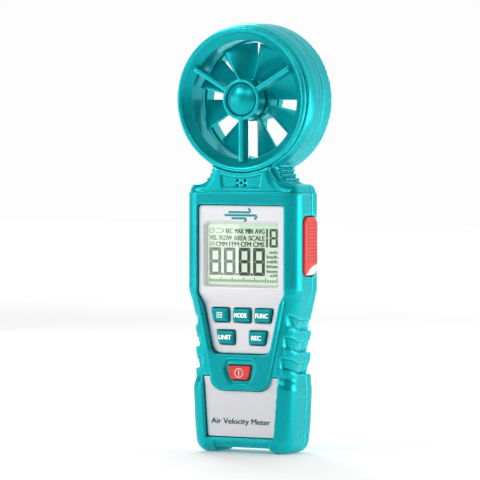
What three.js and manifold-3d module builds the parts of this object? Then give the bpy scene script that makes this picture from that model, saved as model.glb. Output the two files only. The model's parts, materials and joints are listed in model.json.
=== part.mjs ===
// Handheld vane anemometer: a ducted impeller head on a bar-shaped meter with a display and keypad.
// Units are millimetres. +Z is up and the front faces -Y. Shapes are drawn with the parting plane of
// the case at Y = 0, and the finished group then stands with its middle over the origin.
import * as THREE from 'three';
import { mergeVertices } from 'three/addons/utils/BufferGeometryUtils.js';
import Module from 'manifold-3d';

const wasm = await Module();
wasm.setup();

// ---------- driving dimensions ----------
const GAP = 0.3;                    // clearance between neighbouring pieces
const FRONT_MOST = 13.9;            // reach of the hub cap and power key in front of the parting plane
const REAR_MOST = 10.1;             // reach of the door's finger ridges behind it
const HEAD_Z = 141.2;               // height of the duct's axis
const DUCT_R = 24.2;
const BEZEL_R = 29.0;
const SHELL_R = 30.6;
const CASE_FRONT = -13.3;           // crest of the rim round the faceplates
const CASE_REAR = 9.7;
const EDGE_R = 3.5;                 // rounding of the case's front and rear edges
const WALL = 1.6;
const UPPER_HALF_W = 25.5;          // half-width beside the display
const GRIP_HALF_W = 22.4;           // half-width of the grip
const FOOT_HALF_W = 23.3;           // widest part of the lower body
const SHOULDER_Z = 108.2;
const ARCH_Z = 2.2;                 // height of the arch between the two foot ridges
const PANEL_Y = -11.8;              // face of the upper and lower faceplates
const PLATE_T = 1.2;
const KEYPAD_Y = PANEL_Y + PLATE_T; // face of the keypad part of the faceplate
const CAVITY_FRONT = -7.9;
const CAVITY_REAR = CASE_REAR - WALL;
const ISLAND_Y = -13.4;             // raised tongue that carries the power key
const KEY_FACE = -12.4;
const KEY_BACK = -6.7;
const KEY_FLANGE = 0.6;
const BOARD_FRONT = -4.6;
const BOARD_T = 1.6;
const WINDOW = { halfW: 16.6, z0: 66.6, z1: 92.6 };
const SPOKES = 3;
const SPOKE_W = 1.95;
const GUARD_HUB_R = 8.18;
const BLADES = 8;
const BLADE_TIP_R = 22.9;
const BLADE_FRONT = { y: -4.8, deg: 33 };
const BLADE_REAR = { y: 2.2, deg: 0 };
const IMPELLER_HUB = { r: 8.6, front: -3.8, rear: 2.6 };
const SHAFT_R = 0.75;
const BORE_R = 0.83;
const CELL = { r: 5.2, length: 44, pitch: 11.2, y: 3.1, z: 8.4 };
const TRAY = { halfW: 18.4, front: -2.75, wall: 0.8, z0: 4.8, z1: 60.6 }; // battery tray
const DOOR = { halfW: 17.0, z0: 5.8, z1: 59.4 };
const DOOR_SCREW_Z = 56.4;
const CASE_SCREWS = [[-19.6, 64.8], [19.6, 64.8], [-19.6, 101], [19.6, 101]];
const SIDE_KEY = { y0: -7.2, y1: 3.9, z0: 71.2, z1: 94.6, face: 26.5, back: 22.0 };
const RIBS_Z = [[49.4, 53.4], [40.6, 44.8], [32.0, 36.2]]; // recessed bands of the grip
const RIB_DEPTH = 0.9;
const RING_STEPS = 36;
const ROUND_STEPS = 16;

// ---------- materials ----------
const teal = new THREE.MeshStandardMaterial({ color: 0x07a3ac, roughness: 0.38, metalness: 0.0 });
const silver = new THREE.MeshStandardMaterial({ color: 0xdcdbe1, roughness: 0.42, metalness: 0.05 });
const keyTeal = new THREE.MeshStandardMaterial({ color: 0x0b8f99, roughness: 0.45, metalness: 0.0 });
const red = new THREE.MeshStandardMaterial({ color: 0xe0302c, roughness: 0.4, metalness: 0.0 });
const lens = new THREE.MeshStandardMaterial({ color: 0xdfeee4, roughness: 0.05, metalness: 0.0 });
const display = new THREE.MeshStandardMaterial({ color: 0xb9cdb6, roughness: 0.3, metalness: 0.0 });
const white = new THREE.MeshStandardMaterial({ color: 0xeeeeea, roughness: 0.6, metalness: 0.0 });
const rubber = new THREE.MeshStandardMaterial({ color: 0x3c4145, roughness: 0.8, metalness: 0.0 });
const board = new THREE.MeshStandardMaterial({ color: 0x1c6b3a, roughness: 0.5, metalness: 0.0 });
const black = new THREE.MeshStandardMaterial({ color: 0x1b1b1d, roughness: 0.5, metalness: 0.0 });
const steel = new THREE.MeshStandardMaterial({ color: 0xb8bcc0, roughness: 0.3, metalness: 1.0 });
const brass = new THREE.MeshStandardMaterial({ color: 0xc9a452, roughness: 0.35, metalness: 1.0 });
const cellWrap = new THREE.MeshStandardMaterial({ color: 0x39434d, roughness: 0.35, metalness: 0.2 });

// ---------- solids ----------
// Turns a closed three.js geometry into a manifold solid.
function solid(geometry) {
  const bare = (geometry.index ? geometry.toNonIndexed() : geometry).clone();
  bare.deleteAttribute('normal');
  bare.deleteAttribute('uv');
  const merged = mergeVertices(bare, 1e-4);
  return new wasm.Manifold(new wasm.Mesh({
    numProp: 3,
    vertProperties: new Float32Array(merged.attributes.position.array),
    triVerts: new Uint32Array(merged.index.array),
  }));
}

function geometryOf(body) {
  const mesh = body.getMesh();
  const geometry = new THREE.BufferGeometry();
  geometry.setAttribute('position', new THREE.BufferAttribute(mesh.vertProperties, 3));
  geometry.setIndex(new THREE.BufferAttribute(mesh.triVerts, 1));
  geometry.computeVertexNormals();
  return geometry;
}

function union(list) {
  return list.reduce((sum, body) => sum.add(body));
}

function cut(body, list) {
  return list.reduce((rest, tool) => rest.subtract(tool), body);
}

function box(x0, x1, y0, y1, z0, z1) {
  const geometry = new THREE.BoxGeometry(x1 - x0, y1 - y0, z1 - z0);
  geometry.translate((x0 + x1) / 2, (y0 + y1) / 2, (z0 + z1) / 2);
  return solid(geometry);
}

// A closed outline in the XZ plane from corners [x, z, radius].
function outline(corners) {
  const shape = new THREE.Shape();
  corners.forEach(([x, z, r], i) => {
    const before = corners[(i + corners.length - 1) % corners.length];
    const after = corners[(i + 1) % corners.length];
    const here = new THREE.Vector2(x, z);
    const from = new THREE.Vector2(before[0], before[1]).sub(here).setLength(r).add(here);
    const to = new THREE.Vector2(after[0], after[1]).sub(here).setLength(r).add(here);
    if (i === 0) shape.moveTo(from.x, from.y);
    else shape.lineTo(from.x, from.y);
    if (r > 0) shape.quadraticCurveTo(x, z, to.x, to.y);
  });
  return shape;
}

// Completes corners of the right half, listed upwards, with their mirror image.
function mirrored(half) {
  return outline([...half, ...half.map(([x, z, r]) => [-x, z, r]).reverse()]);
}

// An outline extruded from 0 to length, with its two end edges rounded by edge.
function extruded(shape, length, edge, curveSegments) {
  const geometry = new THREE.ExtrudeGeometry(shape, {
    depth: length - 2 * edge,
    curveSegments,
    bevelEnabled: edge > 0,
    bevelThickness: edge,
    bevelSize: edge,
    bevelOffset: -edge,
    bevelSegments: 2,
  });
  return geometry.translate(0, 0, edge);
}

// An outline in XZ made solid from y0 to y1.
function slab(shape, y0, y1, edge = 0, curveSegments = 3) {
  const geometry = extruded(shape, y1 - y0, edge, curveSegments);
  return solid(geometry.rotateX(Math.PI / 2).translate(0, y1, 0));
}

// An outline in YZ made solid from x0 to x1.
function crossSlab(shape, x0, x1, edge = 0, curveSegments = 3) {
  const geometry = extruded(shape, x1 - x0, edge, curveSegments);
  return solid(geometry.rotateX(Math.PI / 2).rotateZ(Math.PI / 2).translate(x0, 0, 0));
}

function area(profile) {
  return profile.reduce((sum, [r, y], i) => {
    const [r2, y2] = profile[(i + 1) % profile.length];
    return sum + (r * y2 - r2 * y) / 2;
  }, 0);
}

// A closed profile of [radius, y] turned about an axis along Y through (x, z).
function turned(profile, x, z, steps = RING_STEPS) {
  const ordered = area(profile) > 0 ? profile : [...profile].reverse();
  const onAxis = ordered.findIndex(([r], i) => {
    const last = ordered[(i + ordered.length - 1) % ordered.length];
    return r === 0 && last[0] === 0;
  });
  const points = onAxis < 0
    ? [...ordered, ordered[0]]
    : [...ordered.slice(onAxis), ...ordered.slice(0, onAxis)];
  const geometry = new THREE.LatheGeometry(points.map(([r, y]) => new THREE.Vector2(r, y)), steps);
  geometry.translate(x, 0, z);
  return solid(geometry);
}

function rod(x, z, r, y0, y1, steps = ROUND_STEPS) {
  return turned([[0, y0], [r, y0], [r, y1], [0, y1]], x, z, steps);
}

function head(profile) {
  return turned(profile, 0, HEAD_Z);
}

// A solid turned about the duct's axis.
function spun(body, deg) {
  const geometry = geometryOf(body);
  geometry.translate(0, 0, -HEAD_Z);
  geometry.rotateY(THREE.MathUtils.degToRad(-deg));
  geometry.translate(0, 0, HEAD_Z);
  return solid(geometry);
}

// ---------- outlines ----------
const bodyOutline = () => mirrored([
  [12.4, ARCH_Z, 0], [13.6, 0, 0], [21.4, 0, 4.2], [23.0, 19.5, 2], [FOOT_HALF_W, 25.6, 1.5],
  [GRIP_HALF_W, 30.6, 2], [GRIP_HALF_W, 52.5, 3], [25.2, 64.5, 2.6], [UPPER_HALF_W, 70, 2.6],
  [UPPER_HALF_W, SHOULDER_Z, 4.6], [17.8, 109.8, 3], [15.6, 118, 0],
]);

const cavityOutline = () => mirrored([
  [19.2, 4.4, 2], [20.4, 30, 2], [20.4, 53, 3], [23.3, 66, 3], [23.3, 105.8, 2],
]);

const faceplateOutline = (grow) => mirrored([
  [12.9 + grow, 39.8 - grow, 3.4], [17.15 + grow, 59.3, 1], [19.4 + grow, 64.2, 1],
  [19.4 + grow, 99.1 + grow, 1.6],
]);

const islandOutline = () => mirrored([
  [12.2, 25.6, 4.6], [14.0, 33, 1], [19.6, 60, 0],
]);

// The lower faceplate fills the space between the side rails, around the raised tongue.
const lowerPlateOutline = (grow) => mirrored([
  [15.0 + grow, 6.5 - grow, 0.6], [16.9 + grow, 30.6 + grow, 0],
  [13.7 - grow, 30.6 + grow, 0], [12.4 - grow, 25.0 + grow * 0.4, 4.6],
]);

const powerOutline = (grow) => mirrored([
  [3.9 + grow, 29.6 - grow, 0.9], [5.4 + grow, 35.2 + grow, 0.9],
]);

const powerRecess = () => mirrored([
  [4.4, 27.9, 1.8], [7.3, 34.4, 2], [5.9, 37.6, 1.4],
]);

// Keys by name: [inner x, outer x at the top, outer x at the bottom, bottom z], mirrored by sign.
const KEY_H = 5.35;
const KEYS = {
  hold_key: { sign: -1, inner: 5.9, top: 13.8, bottom: 12.7, z: 52.5 },
  mode_key: { sign: 0, inner: -3.8, top: 3.8, bottom: 3.8, z: 52.5 },
  function_key: { sign: 1, inner: 5.9, top: 13.8, bottom: 12.7, z: 52.5 },
  unit_key: { sign: -1, inner: 3.4, top: 11.4, bottom: 10.2, z: 43.6 },
  record_key: { sign: 1, inner: 3.4, top: 11.4, bottom: 10.2, z: 43.6 },
};

function keyOutline({ sign, inner, top, bottom, z }, grow) {
  const corners = [
    [inner - grow, z - grow, 0.7], [bottom + grow, z - grow, 0.7],
    [top + grow, z + KEY_H + grow, 0.7], [inner - grow, z + KEY_H + grow, 0.7],
  ];
  if (sign >= 0) return outline(corners);
  return outline(corners.map(([x, zz, r]) => [-x, zz, r]).reverse());
}

// The faceplate's stepped profile in YZ, swept across the case: its front is moved back by
// frontShift and its back lies backShift behind the plate's face.
function steppedBand(frontShift, backShift) {
  const steps = [[KEYPAD_Y, 36], [KEYPAD_Y, 59.3], [PANEL_Y, 63.8], [PANEL_Y, 102]];
  const shifted = (shift) => steps.map(([y, z]) => [y + shift, z, 0]);
  return crossSlab(outline([...shifted(backShift), ...shifted(frontShift).reverse()]), -30, 30);
}

// ---------- case ----------
function ringFront() {
  return head([
    [30.4, 0], [30.3, -8.0], [29.8, -10.3], [28.6, -10.6], [28.6, -9.0], [DUCT_R, -9.0],
    [DUCT_R, 0], [26.0, 0], [26.0, -7.0], [28.8, -7.0], [28.8, 0],
  ]);
}

function ringRear() {
  return head([
    [30.4, 0], [SHELL_R, 6.6], [30.0, 8.6], [28.4, CASE_REAR], [26.0, CASE_REAR], [26.0, 2.4],
    [DUCT_R, 2.4], [DUCT_R, 0], [27.2, 0], [27.2, 6.6], [28.8, 6.6], [28.8, 0],
  ]);
}

// The bar-shaped body, without the head, cut to one side of the parting plane.
function bodyHalf(y0, y1) {
  const whole = slab(bodyOutline(), CASE_FRONT, CASE_REAR, EDGE_R);
  const inset = (GRIP_HALF_W - RIB_DEPTH) / GRIP_HALF_W;
  const core = solid(geometryOf(whole).scale(inset, 1, 1));
  const bands = RIBS_Z.map(([z0, z1]) => box(-30, 30, -13.1, CASE_REAR - 0.2, z0, z1).subtract(core));
  const half = box(-40, 40, y0, y1, -5, 130);
  return cut(whole, bands).intersect(half);
}

function sideSlot() {
  return box(20, 30, SIDE_KEY.y0 - GAP, SIDE_KEY.y1 + GAP, SIDE_KEY.z0 - GAP, SIDE_KEY.z1 + GAP);
}

function frontCase() {
  const duct = rod(0, HEAD_Z, DUCT_R, -20, 20, RING_STEPS);
  const seat = rod(0, HEAD_Z, BEZEL_R + GAP, -20, -10.6, RING_STEPS);
  const step = rod(0, HEAD_Z, 28.6, -20, -9.0, RING_STEPS);
  const ringSpace = head([[26.0, -7], [28.8, -7], [28.8, 1], [26.0, 1]]);
  const channel = box(-4, 4, -6, 1, 104, 113.4);
  const shoulder = box(-40, 40, -20, -12.7, 104.1, 130);
  const grip = box(-40, 40, -20, -12.5, 30.6, 60).subtract(slab(islandOutline(), -22, 0));
  const island = slab(islandOutline(), ISLAND_Y, -9, 0.5)
    .intersect(box(-19.2, 19.2, -20, 0, 20, 60));
  const cavity = slab(cavityOutline(), CAVITY_FRONT, 1);
  const plateSpace = slab(faceplateOutline(GAP), -20, 0).intersect(steppedBand(-9, PLATE_T + GAP));
  const lowerSpace = slab(lowerPlateOutline(GAP), -20, PANEL_Y + PLATE_T + GAP);
  const lipChamfer = box(-12.6, 12.6, -20, -12.2, 0, 4.4);
  const keyHoles = Object.values(KEYS).map((key) => slab(keyOutline(key, GAP), -20, 0));
  const vents = [[0, 0], [1.8, 1], [1.8, -1], [-1.8, 1], [-1.8, -1]]
    .map(([x, z]) => rod(x, 108 + z, 0.5, -20, -9, 8));
  const ventRecess = slab(mirrored([[8.3, 105.8, 0.5], [9.0, 111.2, 0.5]]), -20, -12.2);
  const bosses = CASE_SCREWS.map(([x, z]) => rod(x, z, 2.5, CAVITY_FRONT - 0.2, -GAP / 2));
  const pilots = CASE_SCREWS.map(([x, z]) => rod(x, z, 1.3, -7, 1));
  const shell = cut(bodyHalf(-20, -GAP / 2), [grip]).add(island);
  const hollow = cut(shell, [cavity, shoulder]);
  const pocket = rod(0, 107.6, 4.2, -10.4, -5);
  const ring = ringFront().intersect(box(-40, 40, -20, -GAP / 2, 100, 180));
  const joined = union([hollow.subtract(duct), ...bosses]).add(ring);
  return cut(joined, [
    seat, step, ringSpace, channel, pocket, plateSpace, lowerSpace, lipChamfer, ventRecess, sideSlot(),
    slab(powerOutline(GAP), -20, 0), slab(powerRecess(), -20, -12.5),
    box(-WINDOW.halfW - GAP, WINDOW.halfW + GAP, -20, 0, WINDOW.z0 - GAP, WINDOW.z1 + GAP),
    ...keyHoles, ...vents, ...pilots,
  ]);
}

// The open-backed tray that holds the cells, its floor in front of the parting plane.
function batteryTray() {
  const { halfW, front, wall, z0, z1 } = TRAY;
  const rear = CAVITY_REAR + 0.1;
  return union([
    box(-halfW, halfW, front, front + 0.5, z0, z1),
    box(-halfW, -halfW + wall, front, rear, z0, z1),
    box(halfW - wall, halfW, front, rear, z0, z1),
    box(-halfW, halfW, front, rear, z1 - wall, z1),
    rod(0, DOOR_SCREW_Z, 2.6, front, 5.6),
  ]);
}

function rearCase() {
  const duct = rod(0, HEAD_Z, DUCT_R, -20, 20, RING_STEPS);
  const guardSpace = rod(0, HEAD_Z, 26.0, 2.4, 20, RING_STEPS);
  const ringSpace = head([[27.2, -1], [28.8, -1], [28.8, 6.6], [27.2, 6.6]]);
  const cavity = slab(cavityOutline(), -10, CAVITY_REAR, 1.5).intersect(box(-40, 40, -1, 20, 0, 130));
  const channel = box(-4, 4, -1, 5, 104, 113.4);
  const doorSpace = box(
    -DOOR.halfW - GAP, DOOR.halfW + GAP, CAVITY_REAR - 0.1, 20, DOOR.z0 - GAP, DOOR.z1 + GAP);
  const bosses = CASE_SCREWS.map(([x, z]) => rod(x, z, 2.9, GAP / 2, CAVITY_REAR + 0.1));
  const bores = CASE_SCREWS.flatMap(([x, z]) => [rod(x, z, 1.3, -1, 20), rod(x, z, 2.4, 5.5, 20)]);
  const hollow = cut(bodyHalf(GAP / 2, 20), [cavity, channel, duct]);
  const ring = ringRear().intersect(box(-40, 40, GAP / 2, 20, 100, 180));
  const joined = union([hollow.subtract(guardSpace), batteryTray(), ...bosses]).add(ring);
  return cut(joined, [
    guardSpace, ringSpace, doorSpace, sideSlot(), rod(0, DOOR_SCREW_Z, 1.3, -1, 20), ...bores,
  ]);
}

// ---------- head ----------
function spokes(y0, y1, outerR) {
  const one = box(GUARD_HUB_R - 1.5, outerR, y0, y1, HEAD_Z - SPOKE_W / 2, HEAD_Z + SPOKE_W / 2);
  return Array.from({ length: SPOKES }, (_, i) => spun(one, 30 + (360 / SPOKES) * i));
}

function frontGuard() {
  const bezel = head([
    [23.7, -9.3], [23.7, -9.8], [26.6, -12.4], [27.3, -12.8], [28.4, -12.8], [BEZEL_R, -12.2],
    [BEZEL_R, -11.0], [28.2, -10.9], [28.2, -9.3],
  ]);
  const hub = rod(0, HEAD_Z, GUARD_HUB_R, -12.6, -7.0, 36);
  const body = union([bezel, hub, ...spokes(-12.7, -7.0, 23.9)]);
  return cut(body, [
    rod(0, HEAD_Z, 6.9, -20, -11.4, 36), rod(0, HEAD_Z, 2.3, -10, 0), rod(0, HEAD_Z, 1.2, -12, 0),
  ]);
}

function rearGuard() {
  const rim = head([[23.5, 2.7], [25.7, 2.7], [25.7, 9.3], [24.0, 9.3], [23.5, 8.8]]);
  const hub = rod(0, HEAD_Z, GUARD_HUB_R, 5.0, 9.0, 36);
  const body = union([rim, hub, ...spokes(5.0, 8.8, 24.2)]);
  return cut(body, [rod(0, HEAD_Z, 2.3, 0, 7.9)]);
}

function hubCap() {
  const crown = [1, 2, 3, 4].map((i) => {
    const r = 6.5 * (1 - i / 4);
    return [r, -12.5 - (FRONT_MOST - 12.5) * Math.sqrt(1 - (r / 6.5) ** 2)];
  });
  return turned([[0, -11.7], [6.5, -11.7], [6.5, -12.5], ...crown], 0, HEAD_Z, 24);
}

function bearing(y0, y1) {
  return turned([[BORE_R, y0], [2.0, y0], [2.0, y1], [BORE_R, y1]], 0, HEAD_Z, ROUND_STEPS);
}

// One helical blade: the section's angle falls evenly from the leading to the trailing edge.
function blade() {
  const rows = 6;
  const radii = [IMPELLER_HUB.r - 1, 12.5, 17.5, BLADE_TIP_R];
  const half = 0.42;
  const at = (r, t, side) => {
    const deg = THREE.MathUtils.lerp(BLADE_FRONT.deg, BLADE_REAR.deg, t);
    const y = THREE.MathUtils.lerp(BLADE_FRONT.y, BLADE_REAR.y, t);
    const run = THREE.MathUtils.degToRad(BLADE_FRONT.deg - BLADE_REAR.deg) * r;
    const rise = BLADE_REAR.y - BLADE_FRONT.y;
    const length = Math.hypot(run, rise);
    const a = THREE.MathUtils.degToRad(deg) + (side * half * rise) / (length * r);
    return [r * Math.cos(a), y + (side * half * run) / length, HEAD_Z + r * Math.sin(a)];
  };
  const positions = [];
  const quad = (a, b, c, d) => positions.push(...a, ...c, ...b, ...a, ...d, ...c);
  for (let i = 0; i < radii.length - 1; i += 1) {
    for (let j = 0; j < rows; j += 1) {
      const [r0, r1, t0, t1] = [radii[i], radii[i + 1], j / rows, (j + 1) / rows];
      quad(at(r0, t0, 1), at(r0, t1, 1), at(r1, t1, 1), at(r1, t0, 1));
      quad(at(r0, t0, -1), at(r1, t0, -1), at(r1, t1, -1), at(r0, t1, -1));
    }
  }
  for (let j = 0; j < rows; j += 1) {
    const [t0, t1, inner, outer] = [j / rows, (j + 1) / rows, radii[0], BLADE_TIP_R];
    quad(at(inner, t0, -1), at(inner, t1, -1), at(inner, t1, 1), at(inner, t0, 1));
    quad(at(outer, t0, 1), at(outer, t1, 1), at(outer, t1, -1), at(outer, t0, -1));
  }
  for (let i = 0; i < radii.length - 1; i += 1) {
    const [r0, r1] = [radii[i], radii[i + 1]];
    quad(at(r0, 0, -1), at(r0, 0, 1), at(r1, 0, 1), at(r1, 0, -1));
    quad(at(r0, 1, 1), at(r0, 1, -1), at(r1, 1, -1), at(r1, 1, 1));
  }
  const geometry = new THREE.BufferGeometry();
  geometry.setAttribute('position', new THREE.Float32BufferAttribute(positions, 3));
  return solid(geometry);
}

function impeller() {
  const one = blade();
  const blades = Array.from({ length: BLADES }, (_, i) => spun(one, (360 / BLADES) * i));
  const hub = turned([
    [0, IMPELLER_HUB.front], [7.9, IMPELLER_HUB.front], [IMPELLER_HUB.r, IMPELLER_HUB.front + 0.7],
    [IMPELLER_HUB.r, IMPELLER_HUB.rear], [0, IMPELLER_HUB.rear],
  ], 0, HEAD_Z, 36);
  const magnetSpace = rod(0, HEAD_Z - 6.2, 1.3, 0.6, 4, 12);
  return union([hub, ...blades]).subtract(rod(0, HEAD_Z, SHAFT_R + 0.15, -6, 6)).subtract(magnetSpace);
}

// ---------- front panel ----------
function faceplate() {
  const plate = slab(faceplateOutline(0), -20, 0).intersect(steppedBand(0, PLATE_T));
  const w = WINDOW;
  const keyHoles = Object.values(KEYS).map((key) => slab(keyOutline(key, GAP), -20, 0));
  return cut(plate, [box(-w.halfW, w.halfW, -20, 0, w.z0, w.z1), ...keyHoles]);
}

function key(spec) {
  const cap = slab(keyOutline(spec, 0), KEY_FACE, KEY_BACK, 0.3, 3);
  const flange = slab(keyOutline(spec, 1.0), KEY_BACK - KEY_FLANGE, KEY_BACK, 0, 3);
  return cap.add(flange);
}

function powerKey() {
  const cap = slab(powerOutline(0), -FRONT_MOST, KEY_BACK, 0.4, 3);
  return cap.add(slab(powerOutline(1.0), KEY_BACK - KEY_FLANGE, KEY_BACK, 0, 3));
}

function sideKey() {
  const { y0, y1, z0, z1, face, back } = SIDE_KEY;
  const pad = (grow) => outline([
    [y0 - grow, z0 - grow, 3], [y1 + grow, z0 - grow, 3],
    [y1 + grow, z1 + grow, 3], [y0 - grow, z1 + grow, 3],
  ]);
  return crossSlab(pad(0), back, face, 0.6).add(crossSlab(pad(0.6), back, back + 0.9));
}

// ---------- inside ----------
function mainBoard() {
  const plain = box(-19.5, 19.5, BOARD_FRONT, BOARD_FRONT + BOARD_T, 12, 96.5);
  const notches = CASE_SCREWS.slice(0, 2).map(([x, z]) => rod(x, z, 3.2, -8, 0));
  return cut(plain, notches);
}

function membrane() {
  const back = BOARD_FRONT - GAP;
  const sheet = box(-15, 15, back - 0.6, back, 28.5, 60);
  const centres = Object.values(KEYS).map((k) => {
    const sign = k.sign < 0 ? -1 : 1;
    return [(sign * (k.inner + (k.top + k.bottom) / 2)) / 2, k.z + KEY_H / 2];
  });
  const domes = [...centres, [0, 32.4]].map(([x, z]) => rod(x, z, 2.2, back - 0.85, back - 0.3, 16));
  return union([sheet, ...domes]);
}

// A battery spring as a coil that tapers towards the cell, standing on a square plate.
function cellSpring(x) {
  const turns = 3;
  class Coil extends THREE.Curve {
    getPoint(t, target = new THREE.Vector3()) {
      const a = 2 * Math.PI * turns * t;
      const r = THREE.MathUtils.lerp(3.3, 1.6, t);
      return target.set(r * Math.cos(a), r * Math.sin(a), 0.15 + 2.2 * t);
    }
  }
  const section = new THREE.Shape();
  section.absarc(0, 0, 0.25, 0, 2 * Math.PI);
  const geometry = new THREE.ExtrudeGeometry(section, {
    steps: 27, curveSegments: 3, extrudePath: new Coil(), bevelEnabled: false,
  });
  geometry.translate(x, CELL.y, 5.6);
  return solid(geometry).add(box(x - 4.2, x + 4.2, CELL.y - 4.2, CELL.y + 4.2, 5.0, 5.7));
}

function cell(x, up) {
  const nose = 0.9;
  const low = CELL.z;
  const high = CELL.z + CELL.length;
  const geometry = new THREE.LatheGeometry([
    [0, 0], [CELL.r, 0], [CELL.r, CELL.length - nose], [1.9, CELL.length - nose],
    [1.9, CELL.length], [0, CELL.length],
  ].map(([r, h]) => new THREE.Vector2(r, h)), 24);
  geometry.rotateX(up ? Math.PI / 2 : -Math.PI / 2);
  geometry.translate(x, CELL.y, up ? low : high);
  return solid(geometry);
}

function screw(x, z, headY, tipY) {
  const body = rod(x, z, 2.1, headY, headY + 1.8).add(rod(x, z, 1.0, tipY, headY + 0.2, 12));
  const slotA = box(x - 1.3, x + 1.3, headY + 1.0, headY + 3, z - 0.3, z + 0.3);
  const slotB = box(x - 0.3, x + 0.3, headY + 1.0, headY + 3, z - 1.3, z + 1.3);
  return cut(body, [slotA, slotB]);
}

function batteryDoor() {
  const { halfW, z0, z1 } = DOOR;
  const edge = outline([[-halfW, z0, 1], [halfW, z0, 1], [halfW, z1, 1], [-halfW, z1, 1]]);
  const panel = slab(edge, CASE_REAR - 1.2, CASE_REAR, 0, 2);
  const boss = rod(0, DOOR_SCREW_Z, 3.0, 5.9, CASE_REAR);
  const grips = Array.from({ length: 5 }, (_, i) => (
    box(-8, 8, CASE_REAR - 0.6, REAR_MOST, 44 + 1.8 * i, 44.9 + 1.8 * i)));
  const bores = [rod(0, DOOR_SCREW_Z, 1.3, 4, 20), rod(0, DOOR_SCREW_Z, 2.4, 7.4, 20)];
  return cut(union([panel, boss, ...grips]), bores);
}

// ---------- assembly ----------
const anemometer = new THREE.Group();
anemometer.name = 'vane_anemometer';

function place(name, body, material, parent = anemometer) {
  const mesh = new THREE.Mesh(geometryOf(body), material);
  mesh.name = name;
  parent.add(mesh);
}

const housing = new THREE.Group();
place('front_case', frontCase(), teal, housing);
place('rear_case', rearCase(), teal, housing);
CASE_SCREWS.forEach(([x, z], i) => {
  place(`case_screw_${i + 1}`, screw(x, z, 5.8, -6), steel, housing);
});

const vaneHead = new THREE.Group();
place('front_guard', frontGuard(), teal, vaneHead);
place('hub_cap', hubCap(), teal, vaneHead);
place('rear_guard', rearGuard(), teal, vaneHead);
place('front_bearing', bearing(-9.7, -7.0), brass, vaneHead);
place('rear_bearing', bearing(5.0, 7.7), brass, vaneHead);
place('impeller', impeller(), teal, vaneHead);
place('impeller_shaft', rod(0, HEAD_Z, SHAFT_R, -9.2, 7.2), steel, vaneHead);
place('impeller_magnet', rod(0, HEAD_Z - 6.2, 1.0, 0.9, 2.5, 12), steel, vaneHead);
place('pickup_sensor', box(-2, 2, -2.4, 1.6, 112.8, 113.8), black, vaneHead);
place('sensor_flex', box(-2.2, 2.2, -3.5, -3.2, 96.9, 112.4), brass, vaneHead);
place('sounder', rod(0, 107.6, 3.8, -10.0, -6.4), black, vaneHead);

const frontPanel = new THREE.Group();
place('faceplate', faceplate(), silver, frontPanel);
place('lower_faceplate', slab(lowerPlateOutline(0), PANEL_Y, PANEL_Y + PLATE_T), silver, frontPanel);
place('display_window', box(-16.3, 16.3, -11.2, -10.1, WINDOW.z0 + GAP, WINDOW.z1 - GAP), lens, frontPanel);
Object.entries(KEYS).forEach(([name, spec]) => place(name, key(spec), keyTeal, frontPanel));
place('power_key', powerKey(), red, frontPanel);
place('side_key', sideKey(), red, frontPanel);

const electronics = new THREE.Group();
place('display_glass', box(-16.5, 16.5, -9.8, -7.8, WINDOW.z0, WINDOW.z1), display, electronics);
place('backlight', box(-16.3, 16.3, -7.5, -5.0, 67.5, WINDOW.z1), white, electronics);
place('zebra_strip', box(-14, 14, -7.5, BOARD_FRONT - GAP, 65.2, 67.2), rubber, electronics);
place('keypad_membrane', membrane(), rubber, electronics);
place('main_board', mainBoard(), board, electronics);
place('processor', box(-5, 5, BOARD_FRONT + BOARD_T + GAP, -1.4, 74, 84), black, electronics);
place('side_switch', box(16.6, 20.8, -2.7, 1.4, 80, 86), black, electronics);

const power = new THREE.Group();
[-1, 0, 1].forEach((side, i) => {
  const x = side * CELL.pitch;
  place(`battery_${i + 1}`, cell(x, i % 2 === 0), cellWrap, power);
  place(`battery_spring_${i + 1}`, cellSpring(x), steel, power);
  const contact = box(x - 4.2, x + 4.2, CELL.y - 4, CELL.y + 4.4, 52.7, 53.1);
  place(`battery_contact_${i + 1}`, contact, steel, power);
});
place('battery_door', batteryDoor(), teal, power);
place('door_screw', screw(0, DOOR_SCREW_Z, 7.7, 0.6), steel, power);

anemometer.add(housing, vaneHead, frontPanel, electronics, power);
anemometer.position.y = (FRONT_MOST - REAR_MOST) / 2;
export default anemometer;
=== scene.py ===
"""Vane anemometer: the visible surfaces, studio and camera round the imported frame."""
import json
import math

import bpy
import numpy as np
from mathutils import Matrix, Vector


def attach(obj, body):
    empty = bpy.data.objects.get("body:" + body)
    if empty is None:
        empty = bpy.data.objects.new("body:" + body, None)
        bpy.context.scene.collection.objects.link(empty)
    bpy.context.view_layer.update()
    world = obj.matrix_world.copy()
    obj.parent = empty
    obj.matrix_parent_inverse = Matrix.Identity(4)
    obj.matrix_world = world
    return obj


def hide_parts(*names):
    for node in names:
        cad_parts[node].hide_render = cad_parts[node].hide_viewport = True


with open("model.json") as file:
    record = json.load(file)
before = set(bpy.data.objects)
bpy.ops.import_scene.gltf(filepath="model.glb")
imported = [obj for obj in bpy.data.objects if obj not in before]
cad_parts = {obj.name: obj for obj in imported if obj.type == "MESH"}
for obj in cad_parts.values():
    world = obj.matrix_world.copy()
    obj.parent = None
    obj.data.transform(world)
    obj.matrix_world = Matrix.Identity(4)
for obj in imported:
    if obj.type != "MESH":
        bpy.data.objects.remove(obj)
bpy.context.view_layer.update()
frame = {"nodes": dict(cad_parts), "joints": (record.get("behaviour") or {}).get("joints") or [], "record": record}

MM = 0.001

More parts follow.
